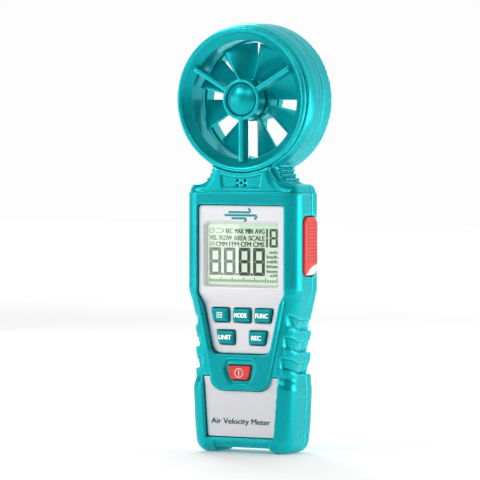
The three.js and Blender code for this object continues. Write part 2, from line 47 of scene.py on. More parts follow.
# ---------- sizes in millimetres: +X right, -Y front, +Z up ----------
HEAD_Z = frame["joints"][0]["pos_m"][2] / MM
PARTING = 1.9               # the parting plane of the case; shapes are drawn from it
SEAM = 0.15                 # each half of the case stops this far from the parting plane
DUCT_R = 24.2
BEZEL_R = 29.0
RIM = 13.3                  # depth of the rim round the faceplates
REAR = 9.7
EDGE_R = 6.2
CAVITY_FRONT = 7.9
CAVITY_REAR = 8.1
TONGUE = 13.45
PANEL = 11.8
KEYPAD = 10.6
PLATE_T = 1.2
GAP = 0.3
KEY_FACE = 12.4
KEY_BACK = 6.7
STEP_Z = 104.1
NECK_Z = 108.3
RIBS_Z = ((49.4, 53.4, 20.2), (40.6, 44.8, 18.8), (32.0, 36.2, 17.6))
RIB_DEPTH = 1.15
NECK_RIBS_Z = (109.6, 111.3, 113.0, 114.7)
SCREWS = ((-19.6, 64.8), (19.6, 64.8), (-19.6, 101), (19.6, 101))
DOOR = {"half": 17.0, "low": 5.8, "high": 59.4, "screw": 56.4}
TRAY = {"half": 18.4, "floor": -2.75, "low": 4.8, "high": 60.6}
PAD = {"middle": -1.65, "half": 5.55, "low": 71.2, "high": 94.6, "face": 26.5, "back": 22.0}
SPOKE_W = 1.95
SPOKE_ANGLES = (30, 150, 270)
HUB_R = 8.18
BLADES = 8
BLADE_TIP = 22.9
LCD = {"half": 15.85, "middle": 79.6, "face": 9.8}
KEYS = {                    # sign, inner x, outer x at the top and bottom, lower z, label
    "hold_key": (-1, 5.9, 13.8, 12.7, 52.5, ""),
    "mode_key": (0, -3.8, 3.8, 3.8, 52.5, "MODE"),
    "function_key": (1, 5.9, 13.8, 12.7, 52.5, "FUNC"),
    "unit_key": (-1, 3.4, 11.4, 10.2, 43.6, "UNIT"),
    "record_key": (1, 3.4, 11.4, 10.2, 43.6, "REC"),
}
KEY_H = 5.35
CAMERA = {"azimuth": 28.38, "elevation": 1.79, "away": 1538.0, "lens": 289.4, "roll": 0.09,
          "aim": (-0.55, -9.9, 85.25)}


# ---------- studio, in metres and degrees: azimuth 0 is in front, 90 on the +X side ----------
DIM = {"from": -0.30, "to": 0.05, "level": 0.01}    # where the white surround falls off towards the front
LIGHTS = (                  # name, azimuth, elevation, distance, height of the aim, size, radiance
    ("front_left_box", -40, 35, 0.80, 0.085, (0.22, 0.22), 10.0),
    ("front_box", -15, 35, 0.80, 0.085, (0.22, 0.22), 3.1),
    ("front_right_box", 15, 35, 0.80, 0.085, (0.22, 0.22), 5.3),
    ("left_box", -65, 5, 0.80, 0.085, (0.22, 0.22), 2.8),
    ("rear_left_box", -140, 35, 0.80, 0.085, (0.22, 0.22), 11.4),
    ("rear_left_low_box", -165, 5, 0.80, 0.085, (0.22, 0.22), 18.5),
    ("low_right_card", 95, 0, 0.30, 0.052, (0.12, 0.10), 3.2),
    ("low_rear_right_card", 120, 0, 0.34, 0.055, (0.12, 0.10), 2.8),
    ("right_strip", 104, 0, 0.60, 0.141, (0.03, 0.10), 45.0),
)
GLARE = {"left": (-1.45, -1.05), "right": (-0.778, -1.465), "height": 0.14, "tall": 0.75, "radiance": 2.6}

# ---------- right halves of the outlines, listed upwards: x, z, radius ----------
BODY = [(21.4, 0, 5.4), (22.6, 11.5, 2), (23.0, 19.5, 2), (23.3, 25.9, 0.4), (22.4, 30.6, 1.2),
        (22.4, 52.5, 2), (23.6, 57.3, 2), (25.5, 65.4, 0.6), (25.5, 108.2, 4.6), (17.6, 109.9, 3),
        (15.3, 118, 0)]
ARCH = [(14.2, -2, 0), (12.4, 2.2, 0.8)]
CAVITY = [(19.2, 4.4, 2), (20.4, 30, 2), (20.4, 53, 3), (23.3, 66, 3), (23.3, 103.5, 2)]
FACEPLATE = [(12.9, 39.8, 3.4), (17.15, 59.3, 1), (19.4, 64.2, 1), (19.4, 99.1, 1.6)]
TONGUE_EDGE = [(12.2, 25.6, 4.6), (14.0, 33, 1), (19.6, 60.5, 0), (19.6, 62, 0)]
LOWER_PLATE = [(15.0, 6.5, 0.6), (16.9, 30.6, 0), (13.7, 30.6, 0), (12.4, 25.0, 4.6)]
POWER = [(3.9, 29.6, 0.9), (5.4, 35.2, 0.9)]
POWER_RECESS = [(4.4, 27.9, 1.8), (7.3, 34.4, 2), (5.9, 37.6, 1.4)]
NECK_PLATE = [(27, 90, 0), (27, 107.2, 0), (16.2, 107.6, 3.2), (12.6, 113, 0.5), (12.4, 120, 0)]


# ---------- outlines and signed distances ----------
def rounded(corners, steps=7):
    """A closed outline from corners (x, z, radius)."""
    points = []
    for i, (x, z, radius) in enumerate(corners):
        here = np.array([x, z], float)
        if radius == 0:
            points.append(here)
            continue
        before = np.array(corners[i - 1][:2], float) - here
        after = np.array(corners[(i + 1) % len(corners)][:2], float) - here
        start = here + before / np.linalg.norm(before) * radius
        end = here + after / np.linalg.norm(after) * radius
        for t in np.linspace(0, 1, steps):
            points.append((1 - t) ** 2 * start + 2 * t * (1 - t) * here + t * t * end)
    return np.array(points)


def mirrored(half):
    """An outline from the corners of its right half, listed upwards."""
    return rounded(list(half) + [(-x, z, r) for x, z, r in reversed(half)])


def polygon(x, z, points):
    """Signed distance to a closed outline, negative inside it."""
    best = np.full(np.broadcast(x, z).shape, 1e9)
    inside = np.zeros(best.shape, bool)
    for (ax, az), (bx, bz) in zip(points, np.roll(points, -1, axis=0)):
        ex, ez = bx - ax, bz - az
        length = ex * ex + ez * ez
        if length < 1e-12:
            continue
        wx, wz = x - ax, z - az
        t = np.clip((wx * ex + wz * ez) / length, 0, 1)
        best = np.minimum(best, (wx - ex * t) ** 2 + (wz - ez * t) ** 2)
        if az != bz:
            inside ^= ((az > z) != (bz > z)) & (wx < ex * wz / ez)
    return np.where(inside, -1, 1) * np.sqrt(best)


def both(a, b, r=0.0):
    """Where two solids overlap, the edge between them rounded by r."""
    if r == 0:
        return np.maximum(a, b)
    return np.minimum(np.maximum(a, b), -r) + np.hypot(np.maximum(a + r, 0), np.maximum(b + r, 0))


def join(a, b, r=0.0):
    """Two solids together, with a fillet of radius r between them."""
    return -both(-a, -b, r)


def cut(a, *tools, r=0.0):
    """A solid less the tools, each new edge rounded by r."""
    for tool in tools:
        a = both(a, -tool, r)
    return a


def smooth(value, low, high):
    t = np.clip((value - low) / (high - low), 0, 1)
    return t * t * (3 - 2 * t)


def spaced(low, high, step):
    return np.linspace(low, high, max(2, int(round((high - low) / step)) + 1))


class Grid:
    """The points at which distances are taken; depth is how far in front of the parting plane they lie."""

    def __init__(self, x, y, z, step):
        self.axes = [spaced(low, high, step) for low, high in (x, y, z)]
        self.x = self.axes[0][:, None, None].astype(np.float32)
        self.y = self.axes[1][None, :, None].astype(np.float32)
        self.z = self.axes[2][None, None, :].astype(np.float32)
        self.depth = -self.y

    def flat(self, points):
        """Distance to an outline in XZ, the same at every depth."""
        return polygon(self.x[:, 0], self.z[0], points)[:, None, :].astype(np.float32)

    def side(self, points):
        """Distance to an outline in YZ, the same at every x."""
        return polygon(self.y[0], self.z[0], points)[None].astype(np.float32)

    def radius(self, x=0.0, z=HEAD_Z):
        return np.hypot(self.x - x, self.z - z)

    def turned(self, profile, x=0.0, z=HEAD_Z):
        """Distance to a closed profile of (radius, y) turned about a line along Y."""
        radius = np.hypot(self.x[:, 0] - x, self.z[0] - z)
        table = np.linspace(0, radius.max(), 1500)
        rows = polygon(table[:, None], self.y[0, :, 0][None], np.array(profile, float))
        layers = [np.interp(radius, table, rows[:, j]) for j in range(rows.shape[1])]
        return np.stack(layers, axis=1).astype(np.float32)

    def rod(self, x, z, r, y0, y1):
        return both(self.radius(x, z) - r, np.maximum(y0 - self.y, self.y - y1))

    def box(self, x0, x1, y0, y1, z0, z1):
        across = np.maximum(x0 - self.x, self.x - x1)
        along = np.maximum(y0 - self.y, self.y - y1)
        return np.maximum(np.maximum(across, along), np.maximum(z0 - self.z, self.z - z1))


def net(field, axes):
    """Points and quads of the surface where the field is zero, and how sharply it bends at each point."""
    inside = field < 0
    nx, ny, nz = (n - 1 for n in field.shape)
    count = np.zeros((nx, ny, nz), np.int8)
    for a in (0, 1):
        for b in (0, 1):
            for c in (0, 1):
                count += inside[a:a + nx, b:b + ny, c:c + nz]
    active = np.argwhere((count > 0) & (count < 8))
    index = np.full(count.shape, -1, np.int64)
    index[tuple(active.T)] = np.arange(len(active))
    total = np.zeros((len(active), 3))
    hits = np.zeros(len(active))
    for axis in range(3):
        u_axis, v_axis = [k for k in range(3) if k != axis]
        for u in (0, 1):
            for v in (0, 1):
                start = active.copy()
                start[:, u_axis] += u
                start[:, v_axis] += v
                end = start.copy()
                end[:, axis] += 1
                f0, f1 = field[tuple(start.T)], field[tuple(end.T)]
                crossed = (f0 < 0) != (f1 < 0)
                t = np.where(crossed, f0 / np.where(crossed, f0 - f1, 1), 0)
                for k in range(3):
                    p0, p1 = axes[k][start[:, k]], axes[k][end[:, k]]
                    total[:, k] += np.where(crossed, p0 + (p1 - p0) * t, 0)
                hits += crossed
    quads = []
    for axis in range(3):
        u_axis, v_axis = [k for k in range(3) if k != axis]
        low, high = [slice(1, -1)] * 3, [slice(1, -1)] * 3
        low[axis], high[axis] = slice(0, -1), slice(1, None)
        first, second = inside[tuple(low)], inside[tuple(high)]
        at = np.argwhere(first != second)
        leaving = first[tuple(at.T)]
        at[:, u_axis] += 1
        at[:, v_axis] += 1
        ring = []
        for du, dv in ((-1, -1), (0, -1), (0, 0), (-1, 0)):
            corner = at.copy()
            corner[:, u_axis] += du
            corner[:, v_axis] += dv
            ring.append(index[tuple(corner.T)])
        quad = np.stack(ring, axis=1)
        flip = leaving if axis == 1 else ~leaving
        quad[flip] = quad[flip][:, ::-1]
        quads.append(quad)
    bend = np.zeros(len(active))
    for axis in range(3):
        ahead, behind = active.copy(), active.copy()
        ahead[:, axis] = np.minimum(active[:, axis] + 2, field.shape[axis] - 1)
        behind[:, axis] = np.maximum(active[:, axis] - 2, 0)
        bend += field[tuple(ahead.T)] + field[tuple(behind.T)] - 2 * field[tuple(active.T)]
    step = axes[0][1] - axes[0][0]
    return total / hits[:, None], np.concatenate(quads), np.clip(bend / (2 * step), -1, 1)


# ---------- pieces ----------
def piece(name, mesh, look, body="case", stands_for=()):
    """Links a mesh as a piece that rides on a body of the frame, in the place of CAD nodes."""
    made = bpy.data.objects.new(name, mesh)
    bpy.context.scene.collection.objects.link(made)
    mesh.materials.append(LOOKS[look])
    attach(made, body)
    if stands_for:
        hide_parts(*stands_for)
    return made


def placed(points):
    """Points in millimetres from the parting plane as points in metres in the frame."""
    return (np.asarray(points, float) + (0, PARTING, 0)) * MM


def mesh_of(name, points, faces, bend):
    """A mesh from points in millimetres and faces that all have as many corners."""
    mesh = bpy.data.meshes.new(name)
    faces = np.asarray(faces)
    mesh.vertices.add(len(points))
    mesh.vertices.foreach_set("co", placed(points).ravel())
    mesh.loops.add(faces.size)
    mesh.loops.foreach_set("vertex_index", faces.ravel())
    mesh.polygons.add(len(faces))
    mesh.polygons.foreach_set("loop_start", np.arange(0, faces.size, faces.shape[1]))
    mesh.update(calc_edges=True)
    mesh.validate()
    mesh.shade_smooth()
    mesh.attributes.new("bend", "FLOAT", "POINT").data.foreach_set("value", bend.astype(np.float32))
    return mesh


def solid(name, field, grid, look, body="case", stands_for=()):
    """A piece from the surface where a field of signed distances is zero."""
    points, faces, bend = net(field, grid.axes)
    return piece(name, mesh_of(name, points, faces, bend), look, body, stands_for)


# ---------- case ----------
def bar(grid, depth, rim, dip):
    """The bar-shaped body on one side of the parting plane: its face is rim away, lower at the grip."""
    outline = grid.flat(mirrored(BODY))
    low = dip * (smooth(grid.z, 27.5, 30.2) - smooth(grid.z, 60, 63.5))
    whole = both(outline, depth - rim + low, EDGE_R)
    height = grid.z - 2.2 * smooth(grid.depth, 4, 12.5)
    for z0, z1, end in RIBS_Z:
        recess = smooth(height, z1 + 0.15, z1 - 0.35) * (0.45 + 0.55 * smooth(height, z1, z0 + 0.6))
        recess = recess * smooth(height, z0 - 0.2, z0 + 0.15)
        groove = 0.45 * np.exp(-((height - z0 - 0.1) / 0.28) ** 2)
        bulge = 0.35 * smooth(height, z0 - 4.2, z0 - 1.2) * (height < z0)
        across = smooth(np.abs(grid.x), end, end + 0.7)
        whole = whole + (RIB_DEPTH * recess + groove - bulge) * across
    lower = both(whole, grid.z - STEP_Z, 0.3)
    upper = both(outline + 0.5, depth - rim + 0.6, EDGE_R - 0.6)
    plate = both(upper, grid.flat(mirrored(NECK_PLATE)), 0.4)
    ribs = np.min([np.abs(grid.z - z) for z in NECK_RIBS_Z], axis=0) - 0.42
    ribs = both(ribs, np.abs(grid.y + 1.2) - 6.6, 0.25)
    ribbed = join(upper + 1.1, both(upper + 0.25, ribs, 0.3), 0.3)
    return join(lower, join(plate, both(ribbed, NECK_Z - 0.6 - grid.z), 0.3))


def step_top(z):
    """Depth of the faceplate's face: it slopes down from the display to the keypad."""
    return KEYPAD + (PANEL - KEYPAD) * np.clip((z - 59.3) / 4.5, 0, 1)


def grown(half, grow):
    """The right half of an outline moved outwards by grow."""
    middle = sum(z for _, z, _ in half) / len(half)
    return [(x + grow, z + (grow if z > middle else -grow), r) for x, z, r in half]


def key_outline(name, grow=0.0):
    sign, inner, top, bottom, z, _ = KEYS[name]
    r = 0.8
    corners = [(inner - grow, z - grow, r), (bottom + grow, z - grow, r),
               (top + grow, z + KEY_H + grow, r), (inner - grow, z + KEY_H + grow, r)]
    if sign < 0:
        corners = [(-x, zz, rr) for x, zz, rr in reversed(corners)]
    return rounded(corners)


def pad_slot(grid):
    middle = (PAD["low"] + PAD["high"]) / 2
    half = (PAD["high"] - PAD["low"]) / 2 + GAP
    return both(np.abs(grid.y - PAD["middle"]) - PAD["half"] - GAP, np.abs(grid.z - middle) - half, 3.0)


def case_half(name, is_front):
    """One half of the case, with the ring of the head."""
    side = -1 if is_front else 1
    y_range = (-14.0, 0.2) if is_front else (-3.2, 10.4)
    grid = Grid((-31.3, 31.3), y_range, (-0.9, 172.5), 0.36)
    depth = grid.y * side
    x, z, out = grid.x, grid.z, grid.radius()
    shell = bar(grid, depth, RIM if is_front else REAR, 0.8 if is_front else 0.0)
    if is_front:
        tongue = both(grid.flat(mirrored(TONGUE_EDGE)), depth - TONGUE, 0.6)
        shell = join(shell, tongue)
        ring = grid.turned([(26, 0.2), (30.5, 0.2), (30.5, -2.9), (30.3, -3.1), (30.5, -3.3),
                            (30.5, -6.6), (30.2, -8.2), (29.8, -9.6), (29.35, -10.4), (28.8, -10.7),
                            (24, -10.7), (24, 0.2)])
    else:
        ring = grid.turned([(24, -3), (30.45, -3), (30.6, 6.4), (30.35, 7.9), (29.6, 9.1), (28.4, 9.7),
                            (24, 9.7)])
    shell = join(shell, ring, 1.1)
    shell = cut(shell, both(grid.flat(mirrored(ARCH)), z - 2.2), r=0.3)
    reach = CAVITY_FRONT if is_front else CAVITY_REAR
    shell = cut(shell, both(grid.flat(mirrored(CAVITY)), depth - reach, 4.6), out - DUCT_R)
    slot = both(pad_slot(grid), 20 - x)
    shell = cut(shell, slot, r=0.2)
    shell = front_openings(grid, shell, out) if is_front else rear_openings(grid, shell, out)
    shell = both(shell, SEAM - depth, 0.12)
    if not is_front:
        shell = np.minimum(shell, battery_tray(grid))
    solid(name, shell, grid, "teal_case", stands_for=["front_case" if is_front else "rear_case"])


def front_openings(grid, shell, out):
    """Cuts the front half for the guard, faceplates, keys and outlet holes."""
    x, z, depth = grid.x, grid.z, grid.depth
    shell = cut(shell, both(out - BEZEL_R - GAP, 10.6 - depth), both(out - 28.6, 9.0 - depth))
    shell = cut(shell, both(grid.flat(mirrored(grown(FACEPLATE, GAP))), step_top(z) - 1.5 - depth))
    shell = cut(shell, both(grid.flat(mirrored(grown(LOWER_PLATE, GAP))), PANEL - 1.5 - depth))
    chamfer = ((4.5 - z) + (depth - 12.8)) / math.sqrt(2)
    shell = cut(shell, both(-chamfer, np.abs(x) - 12.5), r=0.3)
    shell = cut(shell, both(grid.flat(mirrored(POWER_RECESS)), TONGUE - 0.75 - depth), r=0.25)
    shell = cut(shell, grid.flat(mirrored(grown(POWER, GAP))))
    for name in KEYS:
        shell = cut(shell, grid.flat(key_outline(name, GAP)))
    shell = cut(shell, grid.box(-16.9, 16.9, -20, 1, 66.3, 92.9))
    vent = both(grid.flat(mirrored([(8.3, 105.8, 0.7), (9.4, 113, 0)])), 31.1 - out, 0.3)
    shell = cut(shell, both(vent, RIM - 1.15 - depth), r=0.2)
    shell = cut(shell, grid.rod(0, 107.6, 4.2, -10.4, -5))
    for vx, vz in ((0, 108), (1.8, 107), (1.8, 109), (-1.8, 107), (-1.8, 109)):
        shell = cut(shell, grid.rod(vx, vz, 0.55, -20, -9))
    return shell


def rear_openings(grid, shell, out):
    """Cuts the rear half for the guard, door and screws, and adds the screws' bosses."""
    y, z = grid.y, grid.z
    shell = cut(shell, both(out - 26.0, 2.4 - y))
    for x, zz in SCREWS:
        shell = join(shell, grid.rod(x, zz, 2.9, 0, CAVITY_REAR + 0.2))
    half, low, high = DOOR["half"] + GAP, DOOR["low"] - GAP, DOOR["high"] + GAP
    opening = both(np.abs(grid.x) - half, np.abs(z - (low + high) / 2) - (high - low) / 2, 1.2)
    shell = cut(shell, both(opening, CAVITY_REAR - 0.1 - y), r=0.2)
    for x, zz in SCREWS:
        shell = cut(shell, grid.radius(x, zz) - 1.3, both(grid.radius(x, zz) - 2.4, 5.5 - y), r=0.2)
    return shell


def battery_tray(grid):
    """The tray behind the board that holds the cells, with the boss for the door's screw."""
    t = TRAY
    rear = CAVITY_REAR + 0.1
    floor = grid.box(-t["half"], t["half"], t["floor"], t["floor"] + 0.5, t["low"], t["high"])
    top = grid.box(-t["half"], t["half"], t["floor"], rear, t["high"] - 0.8, t["high"])
    sides = both(grid.box(-t["half"], t["half"], t["floor"], rear, t["low"], t["high"]),
                 t["half"] - 0.8 - np.abs(grid.x))
    boss = grid.rod(0, DOOR["screw"], 2.6, t["floor"], 5.6)
    tray = np.minimum(np.minimum(floor, top), np.minimum(sides, boss))
    return cut(tray, both(grid.radius(0, DOOR["screw"]) - 1.3, -0.5 - grid.y))


# ---------- head ----------
def spokes(grid, y0, y1, outer, width):
    """Three struts from the hub to radius outer, a little narrower towards y1."""
    made = None
    for degrees in SPOKE_ANGLES:
        a = math.radians(degrees)
        dx, dz = math.cos(a), math.sin(a)
        along = grid.x * dx + (grid.z - HEAD_Z) * dz
        across = np.abs((grid.z - HEAD_Z) * dx - grid.x * dz)
        half = width / 2 - 0.03 * (grid.y - y0)
        strut = both(across - half, np.maximum(y0 - grid.y, grid.y - y1), 0.22)
        strut = both(strut, np.maximum(HUB_R - 1.5 - along, along - outer))
        made = strut if made is None else np.minimum(made, strut)
    return made


def front_guard():
    grid = Grid((-29.8, 29.8), (-13.4, -6.4), (HEAD_Z - 29.8, HEAD_Z + 29.8), 0.27)
    bezel = grid.turned([(23.7, -9.3), (23.75, -9.7), (24.1, -10.0), (26.5, -12.0), (26.9, -12.5),
                         (27.4, -12.8), (28.0, -12.9), (28.55, -12.75), (28.9, -12.35), (BEZEL_R, -11.9),
                         (BEZEL_R, -11.2), (28.7, -10.9), (28.2, -10.9), (28.2, -9.3)])
    hub = grid.turned([(0, -7), (0, -11.4), (6.75, -11.4), (6.85, -12.3), (7.1, -12.65),
                       (7.9, -12.65), (HUB_R, -12.35), (HUB_R, -7)])
    body = join(join(bezel, spokes(grid, -12.55, -7, 24.6, SPOKE_W), 0.25), hub, 0.35)
    body = cut(body, grid.rod(0, HEAD_Z, 2.3, -10, 0), grid.rod(0, HEAD_Z, 1.2, -12, 0))
    solid("front_guard_moulding", body, grid, "teal_case", stands_for=["front_guard"])


def rear_guard():
    grid = Grid((-26.4, 26.4), (2.2, 10.0), (HEAD_Z - 26.4, HEAD_Z + 26.4), 0.3)
    rim = grid.turned([(23.5, 2.7), (25.7, 2.7), (25.7, 8.9), (25.4, 9.3), (24.0, 9.3), (23.5, 8.8)])
    hub = grid.turned([(0, 5), (HUB_R, 5), (HUB_R, 8.6), (7.7, 9.0), (5.2, 9.0), (5.0, 8.8), (0, 8.8)])
    body = join(join(rim, spokes(grid, 5.0, 8.8, 24.2, SPOKE_W + 0.2), 0.4), hub, 0.4)
    body = cut(body, grid.rod(0, HEAD_Z, 2.3, 0, 7.9))
    solid("rear_guard_moulding", body, grid, "teal_case", stands_for=["rear_guard"])


def lathe(name, profile, look, stands_for, steps=96):
    """A profile of (radius, y) that starts and ends on the duct's axis, turned about it."""
    rings = profile[1:-1]
    points = [(0, profile[0][1], HEAD_Z), (0, profile[-1][1], HEAD_Z)]
    for r, y in rings:
        for a in np.linspace(0, 2 * math.pi, steps, endpoint=False):
            points.append((r * math.cos(a), y, HEAD_Z + r * math.sin(a)))
    mesh = bpy.data.meshes.new(name)
    faces = []

    def at(i, j):
        return 2 + i * steps + j % steps

    for j in range(steps):
        faces.append((0, at(0, j), at(0, j + 1)))
        faces.append((1, at(len(rings) - 1, j + 1), at(len(rings) - 1, j)))
        for i in range(len(rings) - 1):
            faces.append((at(i, j), at(i + 1, j), at(i + 1, j + 1), at(i, j + 1)))
    mesh.from_pydata(placed(points), [], faces)
    mesh.shade_smooth()
    mesh.attributes.new("bend", "FLOAT", "POINT")
    return piece(name, mesh, look, stands_for=stands_for)


def hub_cap():
    r, foot, top = 6.5, -11.75, -13.95
    ball = (r * r + (foot - top) ** 2) / (2 * (foot - top))
    dome = []
    for t in np.linspace(1, 0, 18):
        reach = r * t
        dome.append((reach, top + ball - math.sqrt(ball * ball - reach * reach)))
    profile = [(0, -11.72), (r - 0.1, -11.72)] + dome
    lathe("hub_cap_dome", profile, "teal_case", stands_for=["hub_cap"])


def impeller():
    """The hub with its notched front edge, and eight helical blades."""
    grid = Grid((-9.4, 9.4), (-4.4, 3.2), (HEAD_Z - 9.4, HEAD_Z + 9.4), 0.22)
    hub = grid.turned([(0, 2.6), (0, -3.3), (6.6, -3.3), (6.8, -3.8), (8.0, -3.8), (8.6, -3.2), (8.6, 2.6)])
    angle = np.arctan2(grid.z - HEAD_Z, grid.x)
    tooth = np.abs((angle * 12 / math.pi) % 2 - 1)
    notch = both((tooth - 0.22) * 2.2, np.maximum(7.3 - grid.radius(), grid.y + 3.1))
    hub = cut(hub, notch, grid.radius() - 0.9, grid.rod(0, HEAD_Z - 6.2, 1.3, 0.6, 4))
    parts = [net(hub, grid.axes)] + [blade(2 * math.pi * k / BLADES) for k in range(BLADES)]
    shift, all_points, all_faces, all_bend = 0, [], [], []
    for points, quads, bend in parts:
        all_points.append(points)
        all_faces.append(np.asarray(quads) + shift)
        all_bend.append(bend)
        shift += len(points)
    mesh = mesh_of("impeller_wheel", np.concatenate(all_points), np.concatenate(all_faces),
                   np.concatenate(all_bend))
    piece("impeller_wheel", mesh, "teal_case", "impeller", ["impeller"])


def blade(turn):
    """One blade as a closed loft: sections along the radius, each a thin rounded strip."""
    (y0, a0), (y1, a1) = (-4.8, math.radians(33)), (2.2, 0.0)
    radii = np.concatenate([[7.6], np.linspace(9, BLADE_TIP - 0.15, 12), [BLADE_TIP]])
    chord = 0.5 - 0.5 * np.cos(np.linspace(0, math.pi, 26))
    width = np.sqrt(np.clip(1 - (2 * chord - 1) ** 12, 0.12, 1))
    loop = list(zip(chord, width)) + list(zip(chord[::-1], -width[::-1]))
    points, bend = [], []
    for row, r in enumerate(radii):
        half = 0.46 - 0.1 * (r - 8.6) / 14.3
        if row == len(radii) - 1:
            half *= 0.45
        run, rise = (a0 - a1) * r, y1 - y0
        length = math.hypot(run, rise)
        for t, w in loop:
            a = turn + a0 + (a1 - a0) * t + w * half * rise / (length * r)
            points.append((r * math.cos(a), y0 + rise * t + w * half * run / length,
                           HEAD_Z + r * math.sin(a)))
            # bend 0.8 along the chord's ends and at the tip, which the material turns into a painted highlight on
            # those edges
            bend.append(0.8 if t < 0.012 or t > 0.988 or row > len(radii) - 2 else 0.0)
    n, quads = len(loop), []
    for i in range(len(radii) - 1):
        for j in range(n):
            k = (j + 1) % n
            quads.append((i * n + j, (i + 1) * n + j, (i + 1) * n + k, i * n + k))
    last = (len(radii) - 1) * n
    for j in range(len(chord) - 1):
        far, near = n - 2 - j, n - 1 - j
        quads.append((j, j + 1, far, near))
        quads.append((last + near, last + far, last + j + 1, last + j))
    return np.array(points), np.array(quads), np.array(bend)


# ---------- front panel ----------
def faceplate():
    grid = Grid((-20.2, 20.2), (-12.4, -8.8), (39.2, 99.9), 0.22)
    x, z, depth = grid.x, grid.z, grid.depth
    top = step_top(z)
    outline = grid.flat(mirrored(FACEPLATE))
    plate = both(both(outline, depth - top, 0.3), top - PLATE_T - depth)
    rim = both(np.abs(x) - LCD["half"] - 0.15, np.abs(z - LCD["middle"]) - 12.35, 0.8)
    plate = cut(plate, rim - np.clip(depth - 10.9, 0, 3) * 1.35, r=0.12)
    for name in KEYS:
        plate = cut(plate, grid.flat(key_outline(name, GAP)), r=0.25)
    solid("faceplate_skin", plate, grid, "silver_plate", stands_for=["faceplate"])


def lower_faceplate():
    grid = Grid((-17.4, 17.4), (-12.2, -10.3), (6.0, 31.2), 0.22)
    outline = grid.flat(mirrored(LOWER_PLATE))
    plate = both(both(outline, grid.depth - PANEL, 0.3), PANEL - PLATE_T - grid.depth)
    solid("lower_faceplate_skin", plate, grid, "silver_plate", stands_for=["lower_faceplate"])


def key(name):
    """A keypad key: a cap with rounded edges and a retaining flange at its back."""
    _, inner, top, _, z, _ = KEYS[name]
    low, high = (-top, -inner) if KEYS[name][0] < 0 else (inner, top)
    grid = Grid((low - 1.5, high + 1.5), (-KEY_FACE - 0.4, -KEY_BACK + 0.4), (z - 1.5, z + KEY_H + 1.5), 0.17)
    outline = grid.flat(key_outline(name))
    taper = 0.1 * np.clip(grid.depth - KEYPAD, 0, 3)
    cap = both(outline + taper, grid.depth - KEY_FACE, 0.75)
    flange = both(outline - 0.9, grid.depth - KEY_BACK - 0.6)
    whole = both(np.minimum(cap, flange), KEY_BACK - grid.depth)
    solid(f"{name}_cap", whole, grid, "key_teal", name, [name])


def power_key():
    grid = Grid((-7, 7), (-14.3, -6.3), (28, 36.8), 0.18)
    outline = grid.flat(mirrored(POWER))
    cap = both(outline + 0.12 * np.clip(grid.depth - 12.7, 0, 3), grid.depth - 13.9, 0.6)
    dish = both(grid.flat(mirrored(grown(POWER, -0.7))), 13.75 - grid.depth, 0.1)
    cap = cut(cap, dish, r=0.1)
    flange = both(outline - 0.9, grid.depth - KEY_BACK - 0.6)
    whole = both(np.minimum(cap, flange), KEY_BACK - grid.depth)
    solid("power_key_cap", whole, grid, "red_key", "power_key", ["power_key"])


def pad_outline(grid):
    middle, half = (PAD["low"] + PAD["high"]) / 2, (PAD["high"] - PAD["low"]) / 2
    return both(np.abs(grid.y - PAD["middle"]) - PAD["half"], np.abs(grid.z - middle) - half, 3.0)


def side_key():
    """The dimpled side pad, with a white oval let into its lower end as a painted highlight."""
    grid = Grid((21.6, 27.0), (-9.0, 5.8), (69.8, 96.0), 0.2)
    outline = pad_outline(grid)
    pad = both(outline, grid.x - PAD["face"], 1.0)
    for row in range(12):
        for column in range(4):
            y, z = PAD["middle"] - 2.9 + 1.95 * column, 77.4 + 1.35 * row
            ball = np.sqrt((grid.x - PAD["face"] - 0.3) ** 2 + (grid.y - y) ** 2 + (grid.z - z) ** 2) - 0.62
            pad = np.maximum(pad, -ball)
    flange = both(outline - 0.6, grid.x - PAD["back"] - 0.9)
    whole = both(np.minimum(pad, flange), PAD["back"] - grid.x)
    highlight_oval = highlight_patch_edge(grid)
    red = cut(whole, both(highlight_oval - 0.05, 25.6 - grid.x))
    solid("side_key_pad", red, grid, "red_key", "side_key", ["side_key"])
    # painted highlight: a white piece fills the oval at the pad's lower end in place of a glint
    highlight_patch = both(both(highlight_oval, both(outline + 0.25, grid.x - PAD["face"] - 0.12, 1.0), 0.3), 25.5 - grid.x)
    solid("side_key_painted_highlight", highlight_patch, grid, "white_plastic", "side_key")


def highlight_patch_edge(grid):
    """Distance to the slanted oval at the lower end of the side pad, where the white painted highlight sits."""
    across = grid.y - PAD["middle"] - 0.9
    along = grid.z - 73.2 - 0.32 * across
    return (np.hypot(across / 4.7, along / 1.9) - 1) * 1.9


def display_window():
    grid = Grid((-16.3, 16.3), (-11.3, -9.9), (67.0, 92.3), 0.24)
    pane = both(np.abs(grid.x) - LCD["half"], np.abs(grid.z - LCD["middle"]) - 12.15, 0.7)
    pane = both(both(pane, grid.depth - 10.95, 0.15), 10.15 - grid.depth)
    solid("display_window_pane", pane, grid, "clear_lens", stands_for=["display_window"])


def battery_door():
    grid = Grid((-17.6, 17.6), (5.6, 10.4), (5.2, 60.0), 0.27)
    x, y, z = grid.x, grid.y, grid.z
    low, high = DOOR["low"], DOOR["high"]
    panel = both(np.abs(x) - DOOR["half"], np.abs(z - (low + high) / 2) - (high - low) / 2, 1.0)
    panel = both(both(panel, y - REAR, 0.3), CAVITY_REAR + 0.4 - y)
    thumb = both(np.abs(x) - 9.2, np.abs(z - 47.9) - 5.4, 2.5)
    panel = cut(panel, both(thumb, REAR - 0.5 - y), r=0.3)
    ridges = np.min([np.abs(z - 44.4 - 1.75 * i) for i in range(5)], axis=0) - 0.4
    ridges = both(both(ridges, np.abs(x) - 7.6, 0.3), y - REAR - 0.35, 0.3)
    body = np.minimum(panel, both(ridges, REAR - 1 - y))
    body = join(body, grid.rod(0, DOOR["screw"], 3.0, 5.9, REAR - 0.2))
    body = cut(body, grid.radius(0, DOOR["screw"]) - 1.3, r=0.1)
    body = cut(body, both(grid.radius(0, DOOR["screw"]) - 2.4, 7.4 - y), r=0.25)
    solid("battery_door_panel", body, grid, "teal_case", "battery_door", ["battery_door"])


